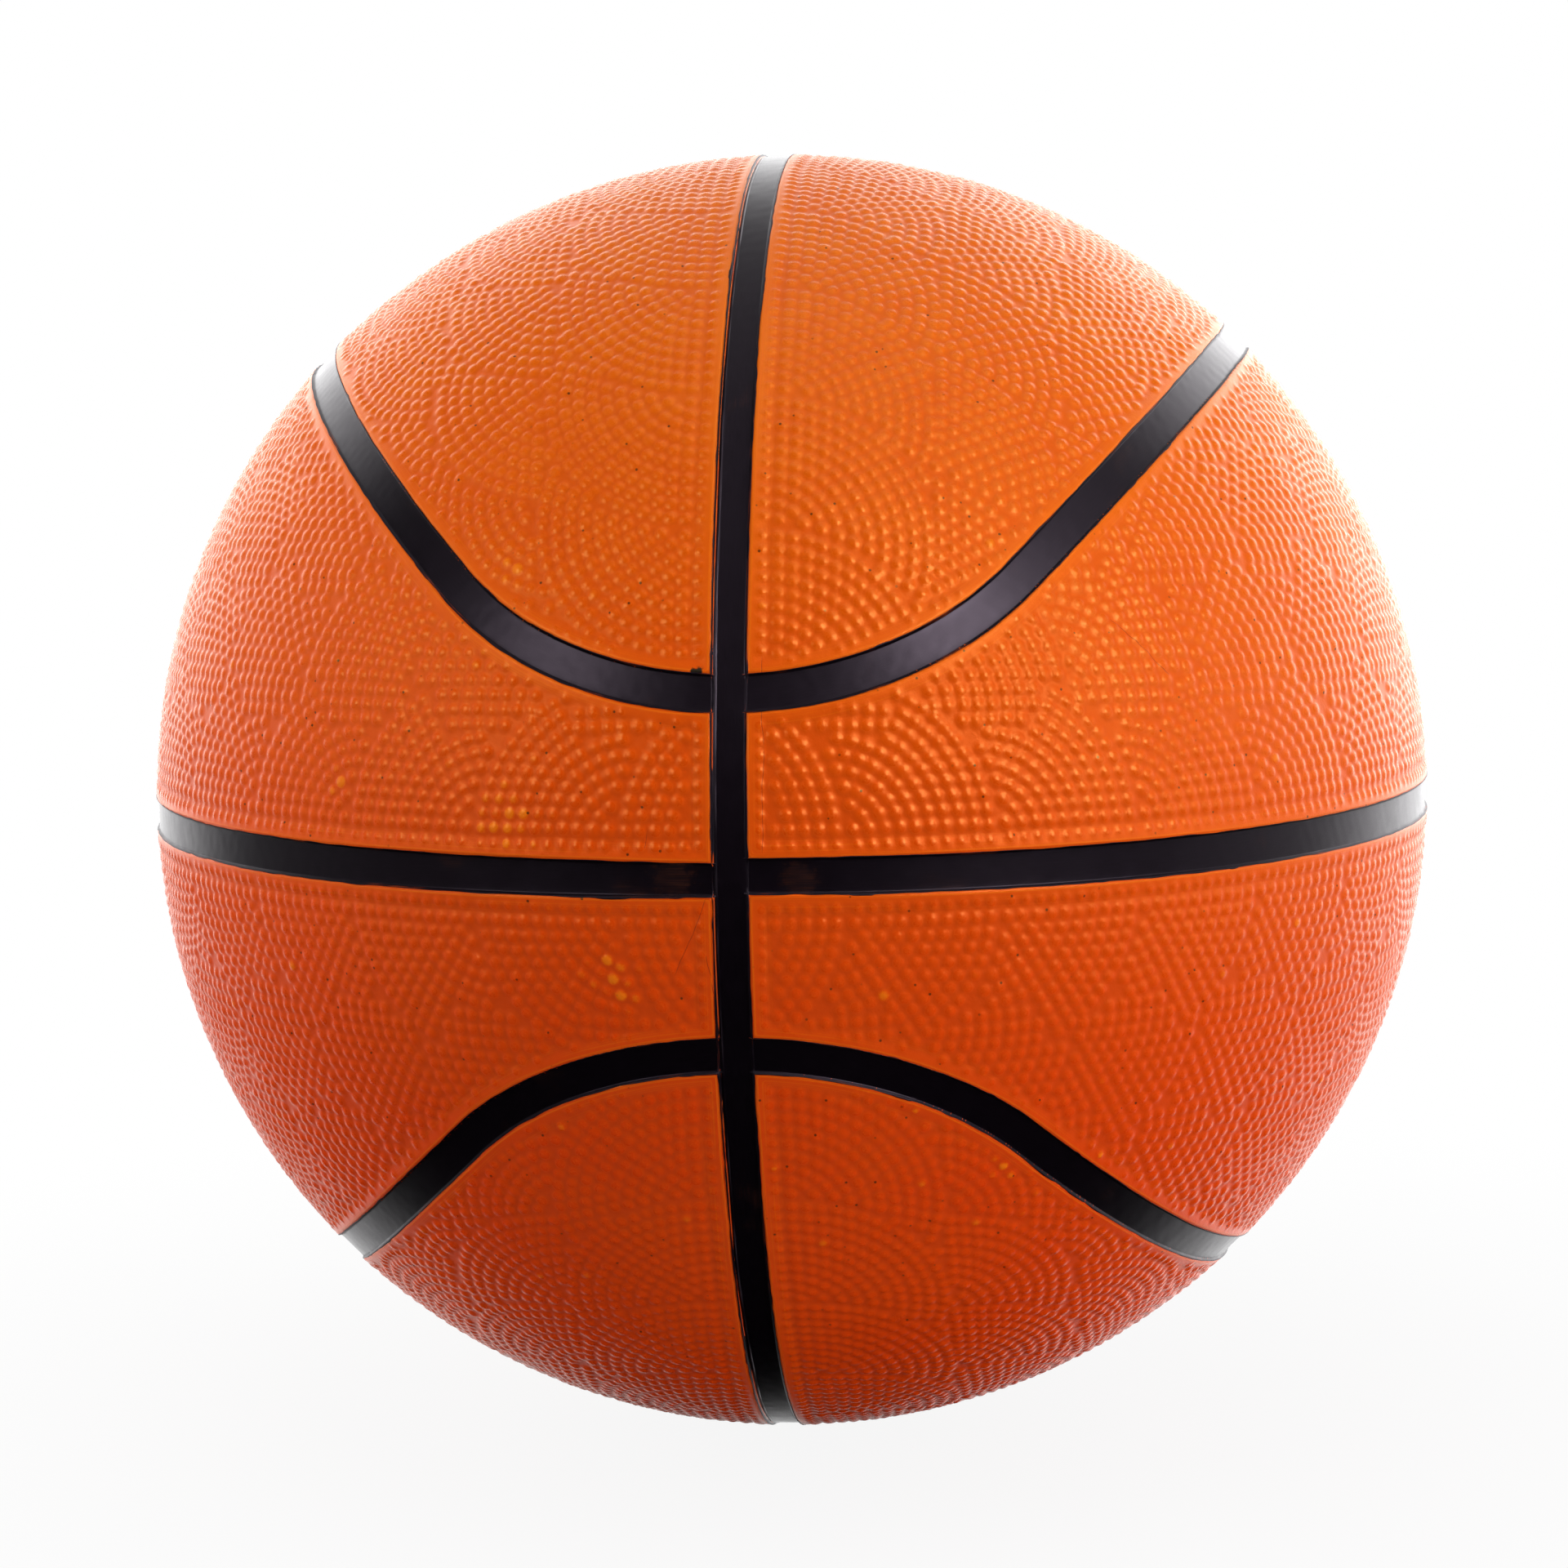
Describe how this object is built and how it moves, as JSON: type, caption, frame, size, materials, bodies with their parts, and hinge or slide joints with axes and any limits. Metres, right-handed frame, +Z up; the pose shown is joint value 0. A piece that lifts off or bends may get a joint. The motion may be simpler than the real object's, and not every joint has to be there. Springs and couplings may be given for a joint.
{
  "type": "basketball",
  "caption": "Moulded rubber basketball with pebbled orange panels, recessed black channels, a wound carcass, an air bladder and a needle valve.",
  "frame": {"origin": "centre of the ball", "axes": "+Z up along the line of the upright channel, -Y through the front crossing of the upright and level channels, +X to the right seen from the front"},
  "size_m": [0.243, 0.2428, 0.243],
  "materials": {
    "cover": "moulded pebbled rubber, orange, satin",
    "channel": "painted rubber, black, soft sheen",
    "carcass": "matt rubber",
    "winding": "nylon thread",
    "bladder": "butyl rubber",
    "valve": "moulded rubber"
  },
  "bodies": {
    "root": {"panel_cap_upper_left": "cover", "panel_cap_upper_right": "cover", "panel_cap_lower_left": "cover", "panel_cap_lower_right": "cover", "panel_saddle_upper_left": "cover", "panel_saddle_upper_right": "cover", "panel_saddle_lower_left": "cover", "panel_saddle_lower_right": "cover", "channel_upright": "channel", "channel_level_left": "channel", "channel_level_right": "channel", "channel_curve_upper_left": "channel", "channel_curve_upper_right": "channel", "channel_curve_lower_left": "channel", "channel_curve_lower_right": "channel", "carcass_upper": "carcass", "carcass_lower": "carcass", "thread_winding": "winding", "bladder": "bladder", "bladder_valve_patch": "bladder", "valve_housing": "valve", "valve_plug": "valve"}
  },
  "joints": []
}
